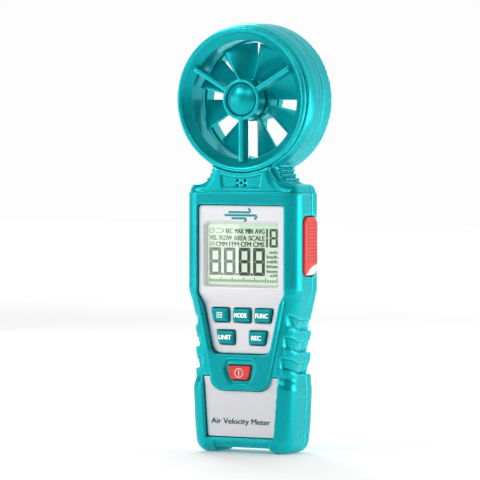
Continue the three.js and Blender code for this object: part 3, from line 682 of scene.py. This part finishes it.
# ---------- printing and display symbols ----------
def strip(points, closed=False, width=0.3):
    """A line of the given width through points, as quads."""
    points = [np.array(p, float) for p in points]
    count = len(points)
    verts, faces = [], []
    for i, here in enumerate(points):
        before = points[i - 1] if closed or i else here
        after = points[(i + 1) % count] if closed or i < count - 1 else here
        along = after - before
        side = np.array([-along[1], along[0]]) / np.linalg.norm(along) * width / 2
        verts += [here + side, here - side]
    for i in range(count if closed else count - 1):
        a, b = 2 * i, 2 * ((i + 1) % count)
        faces.append((a, a + 1, b + 1, b))
    return verts, faces


def arc(x, z, r, start, end, steps=28):
    return [(x + r * math.cos(a), z + r * math.sin(a)) for a in np.radians(np.linspace(start, end, steps))]


def tile(x0, x1, z0, z1):
    return [(x0, z0), (x1, z0), (x1, z1), (x0, z1)], [(0, 1, 2, 3)]


def words(text, x0, x1, z0, z1, weight=0.1):
    """Flat letters that fill a box, drawn again weight to each side to thicken their upright strokes."""
    curve = bpy.data.curves.new("letters", "FONT")
    curve.body, curve.resolution_u = text, 3
    holder = bpy.data.objects.new("letters", curve)
    mesh = bpy.data.meshes.new_from_object(holder)
    co = np.array([v.co[:2] for v in mesh.vertices])
    low, high = co.min(0), co.max(0)
    co = (co - low) / (high - low) * (x1 - x0, z1 - z0) + (x0, z0)
    faces = [tuple(p.vertices) for p in mesh.polygons]
    bpy.data.objects.remove(holder)
    bpy.data.curves.remove(curve)
    bpy.data.meshes.remove(mesh)
    return [(list(co + offset), faces) for offset in ((0, 0), (-weight, 0), (weight, 0), (0, weight / 2))]


def seven_segments(x, z0, half, height, bar_w):
    """The bars of a numeral, with mitred ends and a fine gap between them."""
    w, h, t, g = half, height / 2, bar_w, 0.09
    zc = z0 + h
    shapes = {
        "a": [(-w + g, h), (w - g, h), (w - t - g, h - t), (-w + t + g, h - t)],
        "d": [(-w + g, -h), (-w + t + g, -h + t), (w - t - g, -h + t), (w - g, -h)],
        "b": [(w, h - g), (w, g), (w - t / 2, g), (w - t, t / 2 + g), (w - t, h - t - g)],
        "c": [(w, -h + g), (w - t, -h + t + g), (w - t, -t / 2 - g), (w - t / 2, -g), (w, -g)],
        "g": [(-w + t / 2 + g, 0), (-w + t + g, t / 2), (w - t - g, t / 2), (w - t / 2 - g, 0),
              (w - t - g, -t / 2), (-w + t + g, -t / 2)],
    }
    shapes["f"] = [(-px, pz) for px, pz in reversed(shapes["b"])]
    shapes["e"] = [(-px, pz) for px, pz in reversed(shapes["c"])]
    made = []
    for letter in "abcdefg":
        corners = [(x + px, zc + pz) for px, pz in shapes[letter]]
        made.append((corners, [tuple(range(len(corners)))]))
    return made


def printed(name, shapes, front, look, body="case", thick=0.06):
    """Flat shapes in XZ given a small thickness, their face at depth front."""
    verts, faces = [], []
    for points, polygons in shapes:
        shift = len(verts)
        verts += [tuple(p) for p in points]
        for face in polygons:
            corners = np.array([points[i] for i in face])
            nxt = np.roll(corners, -1, axis=0)
            turn = np.sum(corners[:, 0] * nxt[:, 1] - nxt[:, 0] * corners[:, 1])
            order = face if turn > 0 else face[::-1]
            faces.append(tuple(i + shift for i in order))
    edges = {}
    for face in faces:
        for a, b in zip(face, face[1:] + face[:1]):
            edges[(a, b)] = edges.get((a, b), 0) + 1
    count = len(verts)
    solid_faces = list(faces) + [tuple(i + count for i in reversed(f)) for f in faces]
    for a, b in edges:
        if (b, a) not in edges:
            solid_faces.append((b, a, a + count, b + count))
    points = [(x, -front, z) for x, z in verts] + [(x, -front + thick, z) for x, z in verts]
    mesh = bpy.data.meshes.new(name)
    mesh.from_pydata(placed(points), [], solid_faces)
    mesh.update()
    return piece(name, mesh, look, body)


def display_symbols():
    """Everything that the display can show: four numerals, words, units and the bar scale."""
    shapes = []
    for x in (-12.8, -6.3, 0.4, 7.0):
        shapes += seven_segments(x, 71.0, 2.65, 11.1, 1.35)
    for x in (-9.6, -3.0, 3.7):
        shapes.append(tile(x - 0.42, x + 0.42, 71.0, 71.95))
    shapes += [tile(10.2, 11.0, 86.25, 89.75), tile(10.2, 11.0, 82.4, 85.95)]
    shapes += seven_segments(13.6, 82.4, 1.85, 7.35, 0.95)
    rows = [("REC", -8.0, -4.9, 2), ("MAX", -3.9, 0.0, 2), ("MIN", 1.0, 4.2, 2), ("AVG", 5.2, 9.5, 2),
            ("VEL", -15.4, -11.9, 1), ("FLOW", -10.9, -5.3, 1), ("AREA", -4.4, 1.3, 1),
            ("SCALE", 2.3, 9.6, 1), ("CMM", -12.6, -7.4, 0), ("FPM", -6.5, -2.1, 0),
            ("CFM", -1.2, 3.4, 0), ("CMS", 4.4, 9.4, 0)]
    for text, x0, x1, row in rows:
        z0 = (82.5, 85.0, 87.75)[row]
        shapes += words(text, x0, x1, z0, z0 + 1.95)
    shapes.append(strip(arc(-14.4, 88.9, 1.0, 0, 360 * 27 / 28), True, 0.25))
    shapes.append(strip([(-14.4, 88.9), (-13.8, 89.5)], width=0.25))
    shapes.append(strip([(-12.6, 87.9), (-9.6, 87.9), (-9.6, 89.7), (-12.6, 89.7)], True, 0.28))
    shapes.append(tile(-9.35, -8.95, 88.4, 89.2))
    shapes.append(strip([(-15.2, 82.6), (-13.4, 82.6), (-13.4, 84.4), (-15.2, 84.4)], True, 0.25))
    shapes += words("H", -14.8, -13.8, 83.0, 84.0)
    for text, x0, z0 in (("m/s", 11.8, 79.9), ("km/h", 10.6, 78.0), ("mil/h", 10.6, 76.1),
                         ("ft/min", 10.4, 74.2), ("knots", 10.6, 72.3), ("x10", 12.0, 70.6)):
        shapes += words(text, x0, 15.3, z0, z0 + 1.25, 0.07)
    count = 43
    for i in range(count):
        x = -15.3 + 30.4 * i / (count - 1)
        tall = 1.75 if i % 7 == 0 else 1.0
        shapes.append(tile(x - 0.17, x + 0.17, 68.4, 68.4 + tall))
    printed("display_symbols", shapes, LCD["face"] + 0.07, "display_ink", thick=0.05)


def key_labels():
    for name, (sign, inner, top, bottom, z, text) in KEYS.items():
        middle = 0 if sign == 0 else sign * (inner + (top + bottom) / 2) / 2
        zc = z + KEY_H / 2
        if text:
            half = 0.7 * len(text)
            shapes = words(text, middle - half, middle + half, zc - 0.9, zc + 0.9, 0.11)
        else:
            frame_line = [(middle - 1.1, zc - 1.0), (middle + 1.1, zc - 1.0), (middle + 1.1, zc + 1.0),
                          (middle - 1.1, zc + 1.0)]
            shapes = [strip(frame_line, True, 0.34)]
            shapes += words("H", middle - 0.5, middle + 0.5, zc - 0.55, zc + 0.55, 0.05)
        printed(f"{name}_label", shapes, KEY_FACE + 0.03, "label_white", name)


def power_symbol():
    zc = 32.3
    shapes = [strip(arc(0, zc, 1.75, 0, 360 * 27 / 28), True, 0.3), tile(-0.17, 0.17, zc - 1.05, zc + 1.05)]
    printed("power_key_symbol", shapes, 13.78, "white_plastic", "power_key")


def panel_print():
    """A wind mark above the display and the kind of instrument at the foot."""
    shapes = []
    for z, x0, x1, curl in ((96.3, -5.8, 3.4, 0.62), (95.1, -7.6, 6.2, -0.62), (93.9, -4.4, 1.6, -0.5)):
        r = abs(curl)
        if curl > 0:
            bend_over = arc(x1, z + r, r, -90, 130, 12)
        else:
            bend_over = arc(x1, z - r, r, 90, -130, 12)
        shapes.append(strip([(x0, z), (x0 + 1, z), (x1 - 0.5, z)] + bend_over, width=0.9))
    printed("wind_mark", shapes, PANEL + 0.04, "panel_ink")
    text = words("Air Velocity Meter", -13.4, 13.2, 11.0, 13.9, 0.12)
    printed("instrument_name", text, PANEL + 0.04, "panel_ink")


# ---------- materials ----------
class Graph:
    """A material's nodes, built from calls that return sockets."""

    def __init__(self, name):
        self.material = bpy.data.materials.new(name)
        self.material.use_nodes = True
        self.tree = self.material.node_tree
        self.shader = self.tree.nodes["Principled BSDF"]
        self.where = self.add("ShaderNodeTexCoord").outputs["Object"]

    def add(self, kind, inputs=(), **settings):
        node = self.tree.nodes.new(kind)
        for name, value in settings.items():
            setattr(node, name, value)
        for name, value in dict(inputs).items():
            self.put(node.inputs[name], value)
        return node

    def put(self, socket, value):
        if isinstance(value, bpy.types.NodeSocket):
            self.tree.links.new(value, socket)
        else:
            socket.default_value = value

    def noise(self, per_mm, detail=3.0, roughness=0.5, stretch=(1, 1, 1)):
        """Noise from 0 to 1, with per_mm features in each millimetre."""
        scaled = self.add("ShaderNodeMapping", {"Vector": self.where, "Scale": stretch}).outputs["Vector"]
        inputs = {"Vector": scaled, "Scale": per_mm / MM, "Detail": detail, "Roughness": roughness}
        return self.add("ShaderNodeTexNoise", inputs).outputs["Fac"]

    def between(self, value, low, high, to_low=0.0, to_high=1.0):
        inputs = {"Value": value, "From Min": low, "From Max": high, "To Min": to_low, "To Max": to_high}
        return self.add("ShaderNodeMapRange", inputs, clamp=True).outputs["Result"]

    def mix(self, share, a, b, blend="MIX"):
        node = self.add("ShaderNodeMix", data_type="RGBA", blend_type=blend)
        self.put(node.inputs[0], share)
        self.put(node.inputs[6], a)
        self.put(node.inputs[7], b)
        return node.outputs[2]

    def sum(self, a, b, operation="ADD"):
        node = self.add("ShaderNodeMath", operation=operation)
        self.put(node.inputs[0], a)
        self.put(node.inputs[1], b)
        return node.outputs[0]

    def axis(self, name):
        return self.add("ShaderNodeSeparateXYZ", {"Vector": self.where}).outputs[name]

    def attribute(self, name):
        return self.add("ShaderNodeAttribute", attribute_name=name).outputs["Fac"]

    def bump(self, height, strength, distance_mm, below=None):
        inputs = {"Height": height, "Strength": strength, "Distance": distance_mm * MM}
        if below is not None:
            inputs["Normal"] = below
        return self.add("ShaderNodeBump", inputs).outputs["Normal"]

    def finish(self, colour, roughness, normal=None, **plain):
        self.put(self.shader.inputs["Base Color"], colour)
        self.put(self.shader.inputs["Roughness"], roughness)
        if normal is not None:
            self.put(self.shader.inputs["Normal"], normal)
        for name, value in plain.items():
            self.put(self.shader.inputs[name.replace("_", " ")], value)
        return self.material


def rgb(red, green, blue):
    return (red, green, blue, 1.0)


def times(colour, k):
    return tuple(min(1.0, c * k) for c in colour[:3]) + (1.0,)


def moulded(name, colour, light, roughness=0.38, grain=0.35, grain_per_mm=2.2, cloud=0.07, edge=0.6,
            crease_shade=0.5, speckle=0.05, **plain):
    """Moulded plastic: fine grain and slow colour drift, with a painted highlight that pales convex edges in
    patches and painted shade that darkens creases.
    """
    g = Graph(name)
    drift = g.noise(0.06, 2.0)
    base = g.mix(g.between(drift, 0.3, 0.7), times(colour, 1 - cloud), times(colour, 1 + cloud))
    fine = g.noise(grain_per_mm, 4.0, 0.6)
    base = g.mix(g.between(fine, 0.35, 0.7, 0.0, speckle * 4), base, light)
    bend = g.attribute("bend")
    # painted shade: concave creases, where bend is negative, are darkened towards 0.3 of the colour
    base = g.mix(g.between(bend, -0.08, -0.7, 0.0, crease_shade), base, times(colour, 0.3))
    # painted highlight: sharp convex edges, where bend is high, are paled in noisy patches towards the pale colour
    painted_edge_highlight = g.sum(g.between(bend, 0.12, 0.75, 0.0, edge), g.between(g.noise(0.5, 3.0), 0.25, 0.6, 0.5, 1.0),
                 "MULTIPLY")
    base = g.mix(painted_edge_highlight, base, light)
    rough = g.between(g.noise(0.35, 4.0, 0.65), 0.3, 0.7, roughness - 0.05, roughness + 0.07)
    normal = g.bump(fine, grain, 0.012)
    normal = g.bump(g.noise(0.12, 2.0), 0.1, 0.15, normal)
    return g.finish(base, rough, normal, **plain)


def lens_look():
    """Clear plastic that reflects more at a slant, the same on both of its faces."""
    g = Graph("clear_lens")
    smear = g.between(g.noise(0.15, 3.0), 0.4, 0.8, 0.0, 0.03)
    gloss = g.add("ShaderNodeBsdfGlossy", {"Color": rgb(1, 1, 1), "Roughness": smear}).outputs[0]
    clear = g.add("ShaderNodeBsdfTransparent", {"Color": rgb(0.985, 0.995, 0.99)}).outputs[0]
    normal = g.bump(g.noise(0.05, 2.0), 0.02, 0.2)
    facing = g.add("ShaderNodeLayerWeight", {"Blend": 0.5, "Normal": normal}).outputs["Facing"]
    share = g.between(g.sum(facing, 5.0, "POWER"), 0.0, 1.0, 0.04, 1.0)
    mixed = g.add("ShaderNodeMixShader")
    g.put(mixed.inputs[0], share)
    g.put(mixed.inputs[1], clear)
    g.put(mixed.inputs[2], gloss)
    g.put(g.tree.nodes["Material Output"].inputs["Surface"], mixed.outputs[0])
    g.tree.nodes.remove(g.shader)
    return g.material


def display_look():
    """The grey-green cell, darker towards the top, with a fine mesh and a painted glow from its emission."""
    g = Graph("display_cell")
    tone = g.between(g.axis("Z"), 66 * MM, 92 * MM)
    base = g.mix(tone, rgb(0.50, 0.60, 0.47), rgb(0.40, 0.52, 0.40))
    base = g.mix(g.between(g.noise(0.08, 3.0), 0.3, 0.7, 0.0, 0.35), base, rgb(0.55, 0.63, 0.54))
    mesh = g.noise(4.0, 2.0)
    base = g.mix(g.between(mesh, 0.4, 0.7, 0.0, 0.12), base, rgb(0.30, 0.38, 0.30))
    # painted glow: the emission brightens the cell in place of the light that falls on it
    return g.finish(base, g.between(mesh, 0.3, 0.7, 0.34, 0.42), g.bump(mesh, 0.08, 0.02),
                    Emission_Color=rgb(0.47, 0.62, 0.44), Emission_Strength=0.66)


def brushed(name, colour, streak, roughness, stretch, **plain):
    """Turned or drawn metal with fine streaks and dulled patches."""
    g = Graph(name)
    lines = g.noise(1.2, 4.0, 0.6, stretch)
    base = g.mix(g.between(lines, 0.3, 0.7), times(colour, 1 - streak), times(colour, 1 + streak))
    base = g.mix(g.between(g.noise(0.3, 4.0), 0.5, 0.75, 0.0, 0.5), base, times(colour, 0.55))
    return g.finish(base, g.between(lines, 0.3, 0.7, roughness - 0.06, roughness + 0.1),
                    g.bump(lines, 0.15, 0.03), **plain)


def board_look():
    g = Graph("board_green")
    tracks = g.add("ShaderNodeTexBrick", {"Vector": g.where, "Color1": rgb(0.02, 0.16, 0.07),
                   "Color2": rgb(0.03, 0.22, 0.09), "Mortar": rgb(0.10, 0.33, 0.15), "Scale": 1.0,
                   "Mortar Size": 0.0002, "Brick Width": 0.0035, "Row Height": 0.0016})
    stain = g.between(g.noise(0.3, 4.0), 0.3, 0.7, 0.0, 0.4)
    base = g.mix(stain, tracks.outputs["Color"], rgb(0.01, 0.1, 0.05))
    rough = g.between(g.noise(1.0), 0.3, 0.7, 0.3, 0.45)
    return g.finish(base, rough, g.bump(tracks.outputs["Fac"], 0.3, 0.03))


def cell_look():
    """The printed sleeve of a cell: two bands that meet near one end, with bare metal at the tips."""
    g = Graph("cell_sleeve")
    band = g.between(g.axis("Z"), 0.0405, 0.0407)
    base = g.mix(band, rgb(0.03, 0.035, 0.05), rgb(0.60, 0.42, 0.16))
    base = g.mix(g.between(g.noise(0.5, 4.0), 0.45, 0.7, 0.0, 0.3), base, rgb(0.25, 0.25, 0.27))
    wrap = g.noise(0.8, 2.0, 0.5, (1, 1, 0.1))
    return g.finish(base, g.between(wrap, 0.3, 0.7, 0.22, 0.38), g.bump(wrap, 0.1, 0.05), Metallic=0.3)


def make_looks():
    """Every finish by name, with the record's material slot that it belongs to."""
    teal = rgb(0.003, 0.44, 0.48)
    # pale teal for the fine specks of the grain and for the painted edge highlight
    teal_pale_and_highlight = rgb(0.03, 0.80, 0.84)
    shine = {"Specular_Tint": rgb(0.15, 0.95, 1.0), "Specular_IOR_Level": 0.6, "Metallic": 0.45}
    return {
        "teal_case": moulded("teal_case", teal, teal_pale_and_highlight, 0.3, 0.2, speckle=0.02, **shine),
        # painted glow: the white print is given a faint emission of its own
        "label_white": moulded("label_white", rgb(0.95, 0.95, 0.95), rgb(1, 1, 1), 0.5, 0.1, speckle=0.01,
                               Emission_Color=rgb(1, 1, 1), Emission_Strength=0.25),
        "key_teal": moulded("key_teal", rgb(0.0, 0.30, 0.33), rgb(0.05, 0.6, 0.63), 0.42, 0.2,
                            speckle=0.02, **shine),
        "silver_plate": moulded("silver_plate", rgb(0.82, 0.81, 0.845), rgb(0.93, 0.93, 0.95), 0.4, 0.2,
                                3.0, 0.02, 0.3, 0.25, 0.03, Metallic=0.45),
        "red_key": moulded("red_key", rgb(0.86, 0.025, 0.02), rgb(1.0, 0.14, 0.12), 0.34, 0.3, 2.5,
                           0.04, 0.4, 0.6, 0.03),
        "white_plastic": moulded("white_plastic", rgb(0.86, 0.87, 0.87), rgb(0.95, 0.95, 0.95), 0.45),
        "silicone": moulded("silicone", rgb(0.05, 0.055, 0.06), rgb(0.12, 0.12, 0.13), 0.7),
        "black_plastic": moulded("black_plastic", rgb(0.015, 0.015, 0.017), rgb(0.06, 0.06, 0.06), 0.5),
        "clear_lens": lens_look(),
        "display_cell": display_look(),
        "board_green": board_look(),
        "steel": brushed("steel", rgb(0.55, 0.56, 0.58), 0.12, 0.3, (1, 1, 0.15), Metallic=1.0),
        "brass": brushed("brass", rgb(0.68, 0.48, 0.18), 0.1, 0.32, (1, 0.2, 1), Metallic=1.0),
        "cell_sleeve": cell_look(),
        "display_ink": moulded("display_ink", rgb(0.012, 0.014, 0.013), rgb(0.03, 0.03, 0.03), 0.5),
        "panel_ink": moulded("panel_ink", rgb(0.0, 0.32, 0.36), rgb(0.02, 0.42, 0.46), 0.5),
    }


LOOKS = make_looks()


def dress_inner_nodes():
    """Gives every CAD node that stays in view or inside the case its finish."""
    for part in frame["record"]["subparts"]:
        node = frame["nodes"][part["node"]]
        node.data.materials.clear()
        node.data.materials.append(LOOKS[part["material_slot"]])


# ---------- studio ----------
def area_light(name, place, aim, size, radiance):
    """A rectangular soft box, its strength given as the radiance of its face."""
    data = bpy.data.lights.new(name, "AREA")
    data.shape = "RECTANGLE"
    data.size, data.size_y = size
    data.energy = radiance * math.pi * size[0] * size[1]
    light = bpy.data.objects.new(name, data)
    light.location = place
    light.rotation_euler = (Vector(aim) - Vector(place)).to_track_quat("-Z", "Y").to_euler()
    bpy.context.scene.collection.objects.link(light)


def around(azimuth, elevation, distance, height):
    """A place that far from the object, with azimuth 0 in front of it and 90 on its +X side."""
    a, e = math.radians(azimuth), math.radians(elevation)
    return (distance * math.sin(a) * math.cos(e), -distance * math.cos(a) * math.cos(e),
            height + distance * math.sin(e))


def studio_world():
    """White all round except for a dim zone in front, where the camera stands."""
    world = bpy.data.worlds.new("studio_white")
    world.use_nodes = True
    tree = world.node_tree
    where = tree.nodes.new("ShaderNodeTexCoord").outputs["Generated"]
    toward = tree.nodes.new("ShaderNodeVectorMath")
    toward.operation = "DOT_PRODUCT"
    toward.inputs[1].default_value = (0, -1, 0)
    tree.links.new(where, toward.inputs[0])
    level = tree.nodes.new("ShaderNodeMapRange")
    level.interpolation_type = "SMOOTHSTEP"
    level.inputs["From Min"].default_value = DIM["from"]
    level.inputs["From Max"].default_value = DIM["to"]
    level.inputs["To Min"].default_value = 0.98
    level.inputs["To Max"].default_value = DIM["level"]
    tree.links.new(toward.outputs["Value"], level.inputs["Value"])
    shade = tree.nodes["Background"]
    shade.inputs["Color"].default_value = rgb(1, 1, 1)
    tree.links.new(level.outputs["Result"], shade.inputs["Strength"])
    bpy.context.scene.world = world


def studio():
    """The floor, which glows more far away, the soft boxes and the card that glares in the window."""
    bpy.context.scene.view_settings.view_transform = "Standard"
    studio_world()
    size = 3.0
    mesh = bpy.data.meshes.new("floor")
    corners = [(-size, -size, 0), (size, -size, 0), (size, size, 0), (-size, size, 0)]
    mesh.from_pydata(corners, [], [(0, 1, 2, 3)])
    floor = bpy.data.objects.new("floor", mesh)
    bpy.context.scene.collection.objects.link(floor)
    g = Graph("floor_white")
    tone = g.mix(g.between(g.noise(0.01, 2.0), 0.3, 0.7), rgb(0.96, 0.96, 0.96), rgb(0.98, 0.98, 0.98))
    glow = g.between(g.axis("Y"), 0.1, 1.2, 0.16, 0.62)
    finish = g.finish(tone, 0.9, g.bump(g.noise(0.2), 0.05, 0.2), Specular_IOR_Level=0.0,
                      Emission_Color=rgb(1, 1, 1), Emission_Strength=glow)
    mesh.materials.append(finish)
    for name, azimuth, elevation, distance, height, size, radiance in LIGHTS:
        place = around(azimuth, elevation, distance, height)
        area_light(name, place, (0, 0, height), size, radiance)
    left, right = GLARE["left"], GLARE["right"]
    middle = ((left[0] + right[0]) / 2, (left[1] + right[1]) / 2, GLARE["height"])
    width = math.dist(left, right)
    area_light("glare_card", middle, (0, 0, GLARE["height"]), (width, GLARE["tall"]), GLARE["radiance"])


def camera():
    """Looks at the instrument from its front right, from a little above."""
    a, e = math.radians(CAMERA["azimuth"]), math.radians(CAMERA["elevation"])
    back = Vector((math.sin(a) * math.cos(e), -math.cos(a) * math.cos(e), math.sin(e)))
    aim = Vector(CAMERA["aim"]) * MM
    data = bpy.data.cameras.new("camera")
    data.lens, data.sensor_width = CAMERA["lens"], 36.0
    data.clip_end = 20.0
    view = bpy.data.objects.new("camera", data)
    bpy.context.scene.collection.objects.link(view)
    view.location = aim + back * CAMERA["away"] * MM
    roll = Matrix.Rotation(math.radians(CAMERA["roll"]), 3, "Z")
    view.rotation_euler = ((-back).to_track_quat("-Z", "Y").to_matrix() @ roll).to_euler()
    bpy.context.scene.camera = view


# ---------- the scene ----------
dress_inner_nodes()
case_half("front_case_shell", True)
case_half("rear_case_shell", False)
front_guard()
rear_guard()
hub_cap()
impeller()
faceplate()
lower_faceplate()
display_window()
for key_name in KEYS:
    key(key_name)
power_key()
side_key()
battery_door()
display_symbols()
key_labels()
power_symbol()
panel_print()
studio()
camera()
